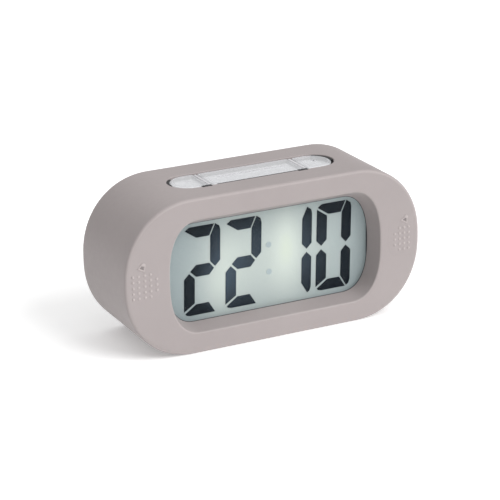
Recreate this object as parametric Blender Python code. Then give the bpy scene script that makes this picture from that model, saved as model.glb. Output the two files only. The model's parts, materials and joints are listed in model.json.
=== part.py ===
"""Digital alarm clock in a silicone sleeve, as separate parts. Metres, +Z up, front facing -Y.

The origin is on the table, under the middle of the clock. Run it with
blender --background --python part.py, or from Blender's text editor.
"""
from math import cos, pi, radians, sin

import bmesh
import bpy
from mathutils import Vector

# Driving dimensions -------------------------------------------------------------------------
WIDTH = 0.140
DEPTH = 0.046
HEIGHT = 0.0685
CORNER = (0.0312, 0.0328)      # reach of the body's four corners along X and Z
CORNER_POWER = 2.1             # fullness of the corners, 2 being an ellipse
FRONT_EDGE = 0.0018            # rounding of the sleeve's front edge
REAR_EDGE = 0.0015
SKIN = 0.002             # thickness of the silicone
WALL = 0.0016            # thickness of the hard case
GAP = 0.0003             # clearance between neighbouring pieces
LIP = 0.0045             # how far the sleeve wraps onto the back

FRONT = -DEPTH / 2
REAR = DEPTH / 2
MID = HEIGHT / 2
WINDOW_MID = MID - 0.0004      # the window sits a little below the middle of the front

# Display window, in the sleeve's front
WINDOW = (0.1003, 0.0500)      # opening at the front face
WINDOW_END = 0.0150            # how far each rounded end reaches along X
WINDOW_POWER = 2.5             # fullness of the rounded ends, 2 being an ellipse
DISPLAY = (0.0968, 0.0444)     # opening at the bottom of the recess
RECESS = 0.0084
MOUTH_EDGE = 0.0006

# Hard case
CASE_FRONT = FRONT + SKIN + GAP
CASE_INSET = SKIN + GAP
SPLIT = 0.012                  # joint between the two case halves
CASE_REAR = REAR - SKIN - GAP
PANEL_REAR = REAR - GAP        # outer face of the back panel, inside the sleeve's lip
PANEL_INNER = 0.0201
PANEL_INSET = LIP + GAP
SCREW_PLACES = [(side * 0.0545, MID + rise) for side in (-1, 1) for rise in (-0.0195, 0.0195)]
BOSS_RADIUS = 0.003
COLUMN_RADIUS = 0.0034
BOSS_BORE = 0.0014
HEAD_RADIUS = 0.0026
HEAD_SINK = 0.0030             # depth of each screw's counterbore

# Keys on top
SLOT = (0.0780, 0.0185)
KEY_BAR = (0.0755, 0.0175)
KEY_SPLIT = 0.0227             # distance of each divider from the middle
DIVIDER = 0.0018
KEY_CORNER = 0.0008
KEY_CROWN = 0.0004
CAP_BOTTOM = 0.0664
BASE_BOTTOM = 0.0620
FLANGE_TOP = 0.0643
FLANGE = 0.0008
KEY_BOARD_TOP = 0.0572
KEY_BOARD_HALF = 0.0392
KEY_BOARD_DEPTH = (-0.0022, 0.0085)
KEY_SWITCH_Y = 0.0022          # the switches sit behind the display, not under the bar's middle
KEY_CENTRES = {"left": -0.0307, "middle": 0.0, "right": 0.0307}

# Press pads on the front, one at each end
PAD_X = 0.0605
PAD_Z = MID + 0.0018
PAD = (0.0118, 0.0195)
PAD_CORNER = 0.004
PAD_THICKNESS = 0.0012
PLUNGER_RADIUS = 0.0032
PLUNGER_END = -0.0165
PLUNGER_STEM = 0.0019          # length of the stem that reaches into the switch
PAD_BOARD = (0.0546, 0.0635, 0.0265, 0.0435)   # inner and outer x, low and high z
BOARD_THICKNESS = 0.0012

# Small tactile switches
SWITCH = 0.006
SWITCH_TALL = 0.0035
SWITCH_BORE = 0.00195
SWITCH_STEM = 0.0016
BORE_DEPTHS = {"Y": 0.0022, "-Y": 0.0028, "Z": 0.0027}
OVERCUT = 0.001                # how far a cutter passes beyond the face that it opens

# Display stack: name -> (half width, low z, high z, front y, rear y), z from the window's middle
STACK = {
    "lcd_front_glass": (0.0489, -0.0240, 0.0240, -0.0125, -0.0118),
    "lcd_rear_glass": (0.0489, -0.0240, 0.0221, -0.0115, -0.0108),
    "diffuser_film": (0.0489, -0.0226, 0.0221, -0.0105, -0.0101),
    "light_guide": (0.0489, -0.0226, 0.0221, -0.0098, -0.0078),
    "reflector_sheet": (0.0489, -0.0226, 0.0221, -0.0075, -0.0071),
    "backlight_led_strip": (0.0300, -0.0242, -0.0229, -0.0098, -0.0078),
    "zebra_strip": (0.0460, 0.0225, 0.0238, -0.0115, -0.0045),
    "main_circuit_board": (0.0500, -0.0255, 0.0255, -0.0042, -0.0026),
}
LENS = (0.102, 0.053)
LENS_CORNER = 0.002
LENS_FRONT = -0.0143
LENS_REAR = -0.0128
FRAME_REAR = -0.0045
FRAME_HOLE = (0.0986, 0.0492)

# Battery compartment
CELL_RADIUS = 0.00525
CELL_LENGTH = 0.0445
CELL_PITCH = 0.0112
CELL_Y = 0.0155
BAY_Z = 0.0310
BAY = (0.056, 0.0338)
BAY_FLOOR = 0.0096
BAY_WALL = 0.0014
CELL_SHIFT = 0.0015            # each cell sits this far towards its flat contact
DOOR = (0.0594, 0.0372)
DOOR_THICKNESS = 0.0013
TAB_X = 0.019
TAB_WIDTH = 0.005
WIRE = 0.00035                 # radius of the spring wire
SPRING_TURNS = 3

# Controls on the back
WELL_X = 0.047
WELL = (0.014, 0.031)
WELL_FLOOR = 0.0215
CONTROL_TOP = REAR - 0.0001
SLIDERS = {"alarm": 0.0440, "light": 0.0365}
BUTTONS = {"set": 0.0290, "reset": 0.0225}
SLIDER_KNOB = (0.0040, 0.0028)
SLIDER_TRAVEL = 0.002
BUTTON_RADIUS = 0.0022
BUTTON_FLANGE = 0.0030
BUTTON_BOTTOM = 0.0190
CONTROL_BOARD = (0.0128, 0.0140)
BUZZER_X = -0.047
BUZZER_RADIUS = 0.011
SOUND_RING = 0.0042            # radius of the ring of six sound holes about the middle one
SOUND_HOLE = 0.0011

CORNER_STEPS = 9
CIRCLE_STEPS = 20


# Materials ----------------------------------------------------------------------------------
def principled(name, colour, roughness, metallic=0.0, alpha=1.0):
    """A material with one Principled shader."""
    made = bpy.data.materials.new(name)
    made.use_nodes = True
    shader = made.node_tree.nodes["Principled BSDF"]
    shader.inputs["Base Color"].default_value = (*colour, 1.0)
    shader.inputs["Roughness"].default_value = roughness
    shader.inputs["Metallic"].default_value = metallic
    shader.inputs["Alpha"].default_value = alpha
    return made


MATERIAL_VALUES = {
    "silicone": ((0.42, 0.38, 0.375), 0.65),
    "case_plastic": ((0.62, 0.60, 0.59), 0.5),
    "frame_plastic": ((0.80, 0.80, 0.78), 0.5),
    "key_clear": ((0.86, 0.87, 0.88), 0.12, 0.0, 0.35),
    "key_white": ((0.75, 0.75, 0.76), 0.4),
    "lens_clear": ((0.9, 0.92, 0.92), 0.05, 0.0, 0.2),
    "lcd_glass": ((0.45, 0.52, 0.50), 0.1, 0.0, 0.6),
    "white_film": ((0.88, 0.88, 0.88), 0.6),
    "light_guide": ((0.85, 0.93, 0.92), 0.2, 0.0, 0.6),
    "circuit_board": ((0.05, 0.22, 0.10), 0.45),
    "black_plastic": ((0.02, 0.02, 0.02), 0.5),
    "contact_rubber": ((0.06, 0.06, 0.07), 0.8),
    "steel": ((0.60, 0.60, 0.62), 0.3, 1.0),
    "brass": ((0.75, 0.58, 0.28), 0.35, 1.0),
    "battery_wrap": ((0.10, 0.12, 0.15), 0.35),
    "wire_red": ((0.60, 0.03, 0.03), 0.5),
    "wire_black": ((0.02, 0.02, 0.02), 0.5),
}
MATERIALS = {}


# Modelling helpers --------------------------------------------------------------------------
def clear_scene():
    """Empty the scene and make the materials."""
    for item in list(bpy.data.objects):
        bpy.data.objects.remove(item, do_unlink=True)
    for name, values in MATERIAL_VALUES.items():
        MATERIALS[name] = principled(name, *values)


def add_piece(name, mesh, material, pivot=(0, 0, 0)):
    """Put a bmesh into the scene as an object whose origin is at pivot."""
    bmesh.ops.translate(mesh, verts=mesh.verts, vec=-Vector(pivot))
    bmesh.ops.recalc_face_normals(mesh, faces=mesh.faces)
    if mesh.calc_volume(signed=True) < 0:
        bmesh.ops.reverse_faces(mesh, faces=mesh.faces)
    data = bpy.data.meshes.new(name)
    mesh.to_mesh(data)
    mesh.free()
    data.shade_smooth()
    data.set_sharp_from_angle(angle=radians(35))
    if material:
        data.materials.append(MATERIALS[material])
    piece = bpy.data.objects.new(name, data)
    piece.location = pivot
    bpy.context.collection.objects.link(piece)
    return piece


def boolean(piece, tool, operation="DIFFERENCE"):
    """Cut a tool out of a piece, or join it on. The tool itself is not a part."""
    tool.hide_render = True
    tool.display_type = "WIRE"
    step = piece.modifiers.new(tool.name, "BOOLEAN")
    step.operation = operation
    step.object = tool


def loft(rings, closed=False):
    """Skin a list of rings of points. A closed loft joins its last ring to its first."""
    mesh = bmesh.new()
    rows = [[mesh.verts.new(point) for point in ring] for ring in rings]
    pairs = list(zip(rows, rows[1:]))
    if closed:
        pairs.append((rows[-1], rows[0]))
    count = len(rows[0])
    for low, high in pairs:
        for i in range(count):
            j = (i + 1) % count
            mesh.faces.new((low[i], low[j], high[j], high[i]))
    if not closed:
        mesh.faces.new(rows[0])
        mesh.faces.new(rows[-1])
    return mesh


def outline(size, reach, power=2.0, steps=CORNER_STEPS):
    """Rounded rectangle about the origin. reach is each corner's size along both sides."""
    turns = [pi / 2 * step / steps for step in range(1, steps)]
    quarter = [(1.0, 0.0)]
    quarter += [(cos(turn) ** (2 / power), sin(turn) ** (2 / power)) for turn in turns]
    quarter += [(0.0, 1.0)]
    points = []
    for sx, sy, corner in ((1, 1, quarter), (-1, 1, quarter[::-1]),
                           (-1, -1, quarter), (1, -1, quarter[::-1])):
        for across, up in corner:
            points.append((sx * (size[0] / 2 - reach[0] * (1 - across)),
                           sy * (size[1] / 2 - reach[1] * (1 - up))))
    return points


def facing(points, y, centre=(0.0, MID)):
    """Place a flat outline at depth y, seen from the front."""
    return [(centre[0] + x, y, centre[1] + z) for x, z in points]


def lying(points, z, centre=(0.0, 0.0)):
    """Place a flat outline at height z, seen from above."""
    return [(centre[0] + x, centre[1] + y, z) for x, y in points]


def body_ring(inset, y):
    """The clock's front outline, drawn in by inset, at depth y."""
    size = (WIDTH - 2 * inset, HEIGHT - 2 * inset)
    reach = (CORNER[0] - inset, CORNER[1] - inset)
    return facing(outline(size, reach, CORNER_POWER), y)


def window_ring(size, grow, y):
    """The window's outline for an opening of this size, grown all round, at depth y."""
    wide = size[0] + 2 * grow
    tall = size[1] + 2 * grow
    end = WINDOW_END + grow - (WINDOW[0] - size[0]) / 2
    shape = outline((wide, tall), (end, tall / 2 - 1e-5), WINDOW_POWER)
    return facing(shape, y, (0.0, WINDOW_MID))


def panel(size, radius, front, rear, centre=(0.0, MID), steps=4):
    """A flat plate with rounded corners, upright, from front to rear."""
    shape = outline(size, (radius, radius), steps=steps)
    return loft([facing(shape, front, centre), facing(shape, rear, centre)])


def block(low, high):
    """A box between two corners."""
    mesh = bmesh.new()
    bmesh.ops.create_cube(mesh, size=1.0)
    size = Vector(high) - Vector(low)
    bmesh.ops.scale(mesh, verts=mesh.verts, vec=size)
    bmesh.ops.translate(mesh, verts=mesh.verts, vec=(Vector(high) + Vector(low)) / 2)
    return mesh


def turned(profile, centre, axis="Y", steps=CIRCLE_STEPS):
    """Turn a profile of (radius, place along the axis) about an axis through centre."""
    rings = []
    for radius, place in profile:
        ring = []
        for step in range(steps):
            turn = 2 * pi * step / steps
            a, b = radius * cos(turn), radius * sin(turn)
            if axis == "Y":
                ring.append((centre[0] + a, place, centre[1] + b))
            elif axis == "Z":
                ring.append((centre[0] + a, centre[1] + b, place))
            else:
                ring.append((place, centre[0] + a, centre[1] + b))
        rings.append(ring)
    return loft(rings)


def tube(name, points, radius, material, smooth_steps=6):
    """A round wire through a few points, on a Catmull-Rom curve."""
    ends = [points[0]] + list(points) + [points[-1]]
    route = []
    for i in range(len(points) - 1):
        before, start, stop, after = (Vector(p) for p in ends[i:i + 4])
        for step in range(smooth_steps):
            t = step / smooth_steps
            route.append(0.5 * (2 * start + (stop - before) * t
                                + (2 * before - 5 * start + 4 * stop - after) * t ** 2
                                + (3 * start - before - 3 * stop + after) * t ** 3))
    route.append(Vector(points[-1]))
    curve = bpy.data.curves.new(name, "CURVE")
    curve.dimensions = "3D"
    curve.bevel_depth = radius
    curve.bevel_resolution = 1
    curve.use_fill_caps = True
    spline = curve.splines.new("POLY")
    spline.points.add(len(route) - 1)
    for point, place in zip(spline.points, route):
        point.co = (*place, 1.0)
    curve.materials.append(MATERIALS[material])
    wire = bpy.data.objects.new(name, curve)
    bpy.context.collection.objects.link(wire)
    return wire


def rounding(radius, steps):
    """Inset and setback along a quarter-round edge, from the face to the side."""
    turns = [pi / 2 * step / steps for step in range(steps + 1)]
    return [(radius * (1 - sin(turn)), radius * (1 - cos(turn))) for turn in turns]


# Sleeve and press pads ----------------------------------------------------------------------
def make_sleeve():
    """The one-piece silicone skin, with its window recess, key slot and rear opening."""
    rings = [
        window_ring(DISPLAY, 0.0, FRONT + RECESS),
        window_ring(WINDOW, 0.0, FRONT + MOUTH_EDGE),
        window_ring(WINDOW, MOUTH_EDGE, FRONT),
    ]
    rings += [body_ring(inset, FRONT + back) for inset, back in rounding(FRONT_EDGE, 4)]
    rings += [body_ring(inset, REAR - back) for inset, back in reversed(rounding(REAR_EDGE, 2))]
    rings += [
        body_ring(LIP, REAR),
        body_ring(LIP, REAR - SKIN),
        body_ring(SKIN, REAR - SKIN),
        body_ring(SKIN, FRONT + SKIN),
        window_ring(WINDOW, SKIN, FRONT + SKIN),
        window_ring(DISPLAY, SKIN * 0.75, FRONT + RECESS),
    ]
    sleeve = add_piece("silicone_sleeve", loft(rings, closed=True), "silicone")
    boolean(sleeve, slot_cutter("sleeve_slot", SLOT, HEIGHT - 2 * SKIN))
    for side, sign in (("left", -1), ("right", 1)):
        hole = (PAD[0] + 2 * GAP, PAD[1] + 2 * GAP)
        cutter = panel(hole, PAD_CORNER, FRONT - SKIN, FRONT + 1.5 * SKIN, (sign * PAD_X, PAD_Z))
        boolean(sleeve, add_piece(f"{side}_pad_hole", cutter, None))


def slot_cutter(name, size, low):
    """A cutter with round ends that opens the top of a shell for the keys."""
    reach = size[1] / 2 - 1e-5
    shape = outline(size, (reach, reach), steps=8)
    return add_piece(name, loft([lying(shape, low), lying(shape, HEIGHT + SKIN)]), None)


def make_press_pads():
    """The two soft pads in the sleeve's front, and the plungers behind them."""
    for side, sign in (("left", -1), ("right", 1)):
        centre = (sign * PAD_X, PAD_Z)
        pivot = (centre[0], FRONT, centre[1])
        pad = panel(PAD, PAD_CORNER, FRONT, FRONT + PAD_THICKNESS, centre)
        add_piece(f"{side}_press_pad", pad, "silicone", pivot)
        top = FRONT + PAD_THICKNESS + GAP
        profile = [
            (PLUNGER_RADIUS, top),
            (PLUNGER_RADIUS, PLUNGER_END),
            (SWITCH_STEM, PLUNGER_END),
            (SWITCH_STEM, PLUNGER_END + PLUNGER_STEM),
        ]
        add_piece(f"{side}_pad_plunger", turned(profile, centre), "frame_plastic", pivot)
        face = PLUNGER_END + 0.0013
        make_switch(f"{side}_pad_switch", (centre[0], face, centre[1]), "Y")
        inner, outer, low, high = PAD_BOARD
        back = face + SWITCH_TALL + GAP
        board = block((sign * inner, back, low), (sign * outer, back + BOARD_THICKNESS, high))
        add_piece(f"{side}_pad_board", board, "circuit_board")


def make_switch(name, face, axis):
    """A square tactile switch body. face is the middle of the side that its stem enters."""
    half = SWITCH / 2
    depth = BORE_DEPTHS[axis]
    x, y, z = face
    if axis == "Y":
        body = block((x - half, y, z - half), (x + half, y + SWITCH_TALL, z + half))
        bore = turned([(SWITCH_BORE, y - OVERCUT), (SWITCH_BORE, y + depth)], (x, z))
    elif axis == "-Y":
        body = block((x - half, y - SWITCH_TALL, z - half), (x + half, y, z + half))
        bore = turned([(SWITCH_BORE, y - depth), (SWITCH_BORE, y + OVERCUT)], (x, z))
    else:
        body = block((x - half, y - half, z - SWITCH_TALL), (x + half, y + half, z))
        bore = turned([(SWITCH_BORE, z - depth), (SWITCH_BORE, z + OVERCUT)], (x, y), "Z")
    switch = add_piece(name, body, "black_plastic")
    boolean(switch, add_piece(name + "_bore", bore, None))


# Case ---------------------------------------------------------------------------------------
def make_front_shell():
    """The deep front half of the hard case, with bosses and the ribs that hold the key board."""
    edge = 0.0008
    inner = CASE_INSET + WALL
    face_rear = CASE_FRONT + 0.0018
    rings = [
        window_ring(WINDOW, CASE_INSET, CASE_FRONT),
        body_ring(CASE_INSET + edge, CASE_FRONT),
        body_ring(CASE_INSET, CASE_FRONT + edge),
        body_ring(CASE_INSET, SPLIT - GAP / 2),
        body_ring(inner, SPLIT - GAP / 2),
        body_ring(inner, face_rear),
        window_ring(WINDOW, CASE_INSET, face_rear),
    ]
    shell = add_piece("front_shell", loft(rings, closed=True), "case_plastic")
    margin = 2 * 0.0004
    size = (KEY_BAR[0] + margin, KEY_BAR[1] + margin)
    boolean(shell, slot_cutter("case_slot", size, HEIGHT - 0.0050))
    for number, (x, z) in enumerate(SCREW_PLACES, 1):
        profile = [(BOSS_RADIUS, CASE_FRONT + OVERCUT), (BOSS_RADIUS, SPLIT - GAP / 2)]
        boss = turned(profile, (x, z), steps=16)
        boolean(shell, add_piece(f"boss_{number}", boss, None), "UNION")
        bore = turned([(BOSS_BORE, 0.0), (BOSS_BORE, SPLIT + OVERCUT)], (x, z), steps=12)
        boolean(shell, add_piece(f"boss_bore_{number}", bore, None))
    for side, sign in (("left", -1), ("right", 1)):
        near, far = sorted((sign * (KEY_BOARD_HALF + GAP), sign * (KEY_BOARD_HALF + GAP + WALL)))
        rib = block((near, KEY_BOARD_DEPTH[0], 0.0540),
                    (far, KEY_BOARD_DEPTH[1], HEIGHT - CASE_INSET - WALL / 2))
        boolean(shell, add_piece(f"{side}_rib", rib, None), "UNION")
        hole_radius = PLUNGER_RADIUS + 0.0004
        hole = turned([(hole_radius, CASE_FRONT - OVERCUT), (hole_radius, face_rear + OVERCUT)],
                      (sign * PAD_X, PAD_Z))
        boolean(shell, add_piece(f"{side}_plunger_hole", hole, None))


def make_rear_shell():
    """The back half of the case: battery bay, door rebate, control well, sound holes."""
    inner = CASE_INSET + WALL
    front = SPLIT + GAP / 2
    rings = [
        body_ring(PANEL_INSET + 0.0018, PANEL_INNER),
        body_ring(PANEL_INSET + 0.0018, PANEL_INNER - 0.0012),
        body_ring(inner, PANEL_INNER - 0.0012),
        body_ring(inner, front),
        body_ring(CASE_INSET, front),
        body_ring(CASE_INSET, CASE_REAR),
        body_ring(PANEL_INSET, CASE_REAR),
        body_ring(PANEL_INSET, PANEL_REAR - GAP),
        body_ring(PANEL_INSET + GAP, PANEL_REAR),
    ]
    shell = add_piece("rear_shell", loft(rings), "case_plastic")
    outer_bay = panel((BAY[0] + 2 * BAY_WALL, BAY[1] + 2 * BAY_WALL), 0.001,
                      BAY_FLOOR - BAY_WALL, PANEL_INNER + OVERCUT, (0.0, BAY_Z), steps=1)
    boolean(shell, add_piece("bay_walls", outer_bay, None), "UNION")
    for number, (x, z) in enumerate(SCREW_PLACES, 1):
        column = turned([(COLUMN_RADIUS, front), (COLUMN_RADIUS, PANEL_INNER + OVERCUT)], (x, z), steps=16)
        boolean(shell, add_piece(f"column_{number}", column, None), "UNION")
    bay = panel(BAY, 0.001, BAY_FLOOR, REAR, (0.0, BAY_Z), steps=1)
    boolean(shell, add_piece("bay", bay, None))
    rebate_size = (DOOR[0] + 2 * GAP, DOOR[1] + 2 * GAP)
    rebate_floor = PANEL_REAR - DOOR_THICKNESS - GAP
    rebate = panel(rebate_size, 0.0015, rebate_floor, REAR, (0.0, BAY_Z), steps=2)
    boolean(shell, add_piece("door_rebate", rebate, None))
    door_foot = BAY_Z - DOOR[1] / 2
    for side, sign in (("left", -1), ("right", 1)):
        middle = sign * TAB_X
        half = TAB_WIDTH / 2 + GAP
        notch = block((middle - half, 0.0196, door_foot - 0.0019),
                      (middle + half, 0.0219, door_foot + 0.0023))
        boolean(shell, add_piece(f"{side}_tab_notch", notch, None))
    grip = turned([(0.005, rebate_floor), (0.005, REAR)], (0.0, BAY_Z + DOOR[1] / 2 + 0.0005), steps=16)
    boolean(shell, add_piece("finger_notch", grip, None))
    for number, (x, z) in enumerate(SCREW_PLACES, 1):
        sink = [(BOSS_BORE, front - OVERCUT), (BOSS_BORE, PANEL_REAR - HEAD_SINK),
                (HEAD_RADIUS + GAP, PANEL_REAR - HEAD_SINK), (HEAD_RADIUS + GAP, REAR)]
        boolean(shell, add_piece(f"screw_sink_{number}", turned(sink, (x, z), steps=16), None))
    well = panel(WELL, 0.003, WELL_FLOOR, REAR, (WELL_X, MID))
    boolean(shell, add_piece("control_well", well, None))
    for name, z in SLIDERS.items():
        size = (SLIDER_KNOB[0] + 2 * (SLIDER_TRAVEL + GAP), SLIDER_KNOB[1] + 2 * GAP)
        slot = panel(size, 0.0008, PANEL_INNER - OVERCUT, REAR, (WELL_X, z), steps=2)
        boolean(shell, add_piece(f"{name}_slot", slot, None))
    for name, z in BUTTONS.items():
        radius = BUTTON_RADIUS + GAP
        hole = turned([(radius, PANEL_INNER - OVERCUT), (radius, REAR)], (WELL_X, z), steps=16)
        boolean(shell, add_piece(f"{name}_hole", hole, None))
    sound = [(0.0, 0.0)]
    sound += [(SOUND_RING * cos(i * pi / 3), SOUND_RING * sin(i * pi / 3)) for i in range(6)]
    for number, (x, z) in enumerate(sound, 1):
        profile = [(SOUND_HOLE, PANEL_INNER - OVERCUT), (SOUND_HOLE, REAR)]
        hole = turned(profile, (BUZZER_X + x, MID + z), steps=8)
        boolean(shell, add_piece(f"sound_hole_{number}", hole, None))


def make_case_screws():
    """Four self-tapping screws, sunk in the back panel."""
    head_top = PANEL_REAR - 0.0008
    head_low = PANEL_REAR - HEAD_SINK + GAP
    for number, (x, z) in enumerate(SCREW_PLACES, 1):
        profile = [(0.0004, 0.0032), (0.0011, 0.0045), (0.0011, head_low), (HEAD_RADIUS, head_low),
                   (HEAD_RADIUS, head_top - 0.0006), (HEAD_RADIUS - 0.0006, head_top)]
        add_piece(f"case_screw_{number}", turned(profile, (x, z), steps=14), "steel")


# Display ------------------------------------------------------------------------------------
def make_display():
    """Lens, liquid crystal glass, backlight and the board behind them, in their frame."""
    centre = (0.0, WINDOW_MID)
    lens = panel(LENS, LENS_CORNER, LENS_FRONT, LENS_REAR, centre)
    add_piece("window_lens", lens, "lens_clear")
    holder = panel(LENS, LENS_CORNER, LENS_REAR + GAP, FRAME_REAR, centre)
    holder = add_piece("display_frame", holder, "black_plastic")
    hole = block((-FRAME_HOLE[0] / 2, LENS_REAR - GAP, WINDOW_MID - FRAME_HOLE[1] / 2),
                 (FRAME_HOLE[0] / 2, FRAME_REAR + 2 * GAP, WINDOW_MID + FRAME_HOLE[1] / 2))
    boolean(holder, add_piece("display_frame_hole", hole, None))
    finishes = {
        "lcd_front_glass": "lcd_glass", "lcd_rear_glass": "lcd_glass",
        "diffuser_film": "white_film", "light_guide": "light_guide",
        "reflector_sheet": "white_film", "backlight_led_strip": "white_film",
        "zebra_strip": "contact_rubber", "main_circuit_board": "circuit_board",
    }
    for name, (half, low, high, near, far) in STACK.items():
        layer = block((-half, near, WINDOW_MID + low), (half, far, WINDOW_MID + high))
        add_piece(name, layer, finishes[name])


def make_board_parts():
    """What sits on the back of the main board."""
    face = STACK["main_circuit_board"][4] + GAP
    blob = turned([(0.0065, face), (0.0062, face + 0.0008), (0.0045, face + 0.0015),
                   (0.0018, face + 0.0018)], (-0.018, MID + 0.012))
    add_piece("controller_blob", blob, "black_plastic")
    crystal = turned([(0.0014, 0.008), (0.0015, 0.0082), (0.0015, 0.0142), (0.0014, 0.0144)],
                     (face + 0.0015, MID + 0.012), "X", steps=12)
    add_piece("timing_crystal", crystal, "steel")


# Keys ---------------------------------------------------------------------------------------
def key_outline(low, high, half, end_left, end_right, inset=0.0):
    """One key seen from above, with its own corner size at each end."""
    points = []
    corners = ((high, half, 0, end_right), (low, half, 90, end_left),
               (low, -half, 180, end_left), (high, -half, 270, end_right))
    for x, y, start, radius in corners:
        steps = 7 if radius > 2 * KEY_CORNER else 2
        centre_x = x - radius if x == high else x + radius
        centre_y = y - radius if y > 0 else y + radius
        for step in range(steps + 1):
            turn = radians(start + 90 * step / steps)
            reach = radius - inset
            points.append((centre_x + reach * cos(turn), centre_y + reach * sin(turn)))
    return points


def make_keys():
    """Three clear key caps on white bases, each over its own switch."""
    half_bar = KEY_BAR[0] / 2
    half = KEY_BAR[1] / 2
    end = half - 1e-5
    inner = KEY_SPLIT - DIVIDER / 2
    outer = KEY_SPLIT + DIVIDER / 2
    spans = {
        "left": (-half_bar, -outer, end, KEY_CORNER),
        "middle": (-inner, inner, KEY_CORNER, KEY_CORNER),
        "right": (outer, half_bar, KEY_CORNER, end),
    }
    for name, (low, high, end_left, end_right) in spans.items():
        pivot = (KEY_CENTRES[name], 0.0, HEIGHT)
        shape = [key_outline(low, high, half, end_left, end_right, inset)
                 for inset in (0.0, 0.00035, 0.00075)]
        cap = loft([
            lying(shape[0], CAP_BOTTOM),
            lying(shape[0], HEIGHT - 2 * KEY_CROWN),
            lying(shape[1], HEIGHT - KEY_CROWN),
            lying(shape[2], HEIGHT),
        ])
        add_piece(f"{name}_key_cap", cap, "key_clear", pivot)
        rim = key_outline(low, high, half + FLANGE, end_left + FLANGE, end_right)
        if name == "right":
            rim = key_outline(low, high, half + FLANGE, end_left, end_right + FLANGE)
        base = loft([lying(rim, BASE_BOTTOM + 0.0010), lying(rim, FLANGE_TOP)])
        piece = add_piece(f"{name}_key_base", base, "key_white", pivot)
        upper = loft([lying(shape[0], FLANGE_TOP - 0.0005), lying(shape[0], CAP_BOTTOM - GAP)])
        boolean(piece, add_piece(f"{name}_key_upper", upper, None), "UNION")
        face = KEY_BOARD_TOP + GAP + SWITCH_TALL
        stem = turned([(SWITCH_STEM, face - 0.0014), (SWITCH_STEM, BASE_BOTTOM + 0.0015)],
                      (KEY_CENTRES[name], KEY_SWITCH_Y), "Z", steps=16)
        boolean(piece, add_piece(f"{name}_key_stem", stem, None), "UNION")
        make_switch(f"{name}_key_switch", (KEY_CENTRES[name], KEY_SWITCH_Y, face), "Z")
    board = block((-KEY_BOARD_HALF, KEY_BOARD_DEPTH[0], KEY_BOARD_TOP - BOARD_THICKNESS),
                  (KEY_BOARD_HALF, KEY_BOARD_DEPTH[1], KEY_BOARD_TOP))
    add_piece("key_circuit_board", board, "circuit_board")


def make_key_ribbon():
    """The flat cable from the key board down to the back of the main board."""
    half = 0.004
    thick = 0.0004
    x = 0.026
    face = STACK["main_circuit_board"][4] + GAP
    top = KEY_BOARD_TOP - BOARD_THICKNESS - GAP
    route = [(face, 0.0500), (face + 0.0006, 0.0515), (face + 0.0016, 0.0530), (face + 0.0024, top)]
    rings = [[(x - half, y, z), (x + half, y, z), (x + half, y + thick, z), (x - half, y + thick, z)]
             for y, z in route]
    add_piece("key_ribbon", loft(rings), "frame_plastic")


# Power --------------------------------------------------------------------------------------
def make_batteries():
    """Three AAA cells, alternately turned, and their contacts."""
    for number in range(3):
        sign = 1 if number % 2 == 0 else -1
        z = BAY_Z + (number - 1) * CELL_PITCH
        middle = sign * CELL_SHIFT
        half = CELL_LENGTH / 2
        r = CELL_RADIUS
        profile = [(r * 0.75, -half), (r * 0.95, -half + 0.0003), (r, -half + 0.0010),
                   (r, half - 0.0018), (r * 0.94, half - 0.0010), (0.0019, half - 0.0010), (0.0019, half)]
        places = [(radius, middle + sign * place) for radius, place in profile]
        add_piece(f"battery_{number + 1}", turned(places, (CELL_Y, z), "X"), "battery_wrap")


def spring_rings(tip, wall, y, z):
    """Rings along a conical coil spring from its wide foot at the wall to its tip."""
    steps = 12
    sides = 5
    rings = []
    total = SPRING_TURNS * steps
    for step in range(total + 1):
        part = step / total
        turn = 2 * pi * SPRING_TURNS * part
        radius = 0.0030 - 0.0012 * part
        x = wall + (tip - wall) * part
        ring = []
        for side in range(sides):
            lean = 2 * pi * side / sides
            reach = radius + WIRE * cos(lean)
            ring.append((x + WIRE * sin(lean), y + reach * cos(turn), z + reach * sin(turn)))
        rings.append(ring)
    return rings


def make_contacts():
    """End plates, of which each negative one carries a coil spring."""
    half = BAY[0] / 2 - GAP
    thick = 0.0005
    low_y = BAY_FLOOR + GAP
    high_y = 0.0200
    rows = [BAY_Z + (number - 1) * CELL_PITCH for number in range(3)]
    reach = 0.0046
    plates = {
        "positive_contact": (1, rows[0], rows[0], None),
        "left_link_contact": (-1, rows[0], rows[1] - 0.0002, rows[0]),
        "right_link_contact": (1, rows[1], rows[2], rows[1]),
        "negative_contact": (-1, rows[2], rows[2], rows[2]),
    }
    for name, (sign, low, high, spring) in plates.items():
        near, far = sorted((sign * (half - thick), sign * half))
        plate = add_piece(name, block((near, low_y, low - reach), (far, high_y, high + reach)), "steel")
        if spring is None:
            continue
        wall = sign * (half - thick / 2)
        tip = sign * (CELL_LENGTH / 2 - CELL_SHIFT + GAP + WIRE)
        coil = loft(spring_rings(tip, wall, CELL_Y, spring))
        boolean(plate, add_piece(name + "_coil", coil, None), "UNION")


def make_leads():
    """The two wires from the battery bay to the main board."""
    face = STACK["main_circuit_board"][4] + GAP
    wall = BAY[0] / 2 + BAY_WALL + GAP
    red = [(wall + 0.0006, 0.0130, 0.0205), (wall + 0.0025, 0.0090, 0.0200),
           (wall + 0.0050, 0.0040, 0.0190), (wall + 0.0070, face, 0.0180)]
    black = [(-x, y, 0.058 - z) for x, y, z in red]
    tube("positive_lead", red, 0.0006, "wire_red")
    tube("negative_lead", black, 0.0006, "wire_black")


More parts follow.
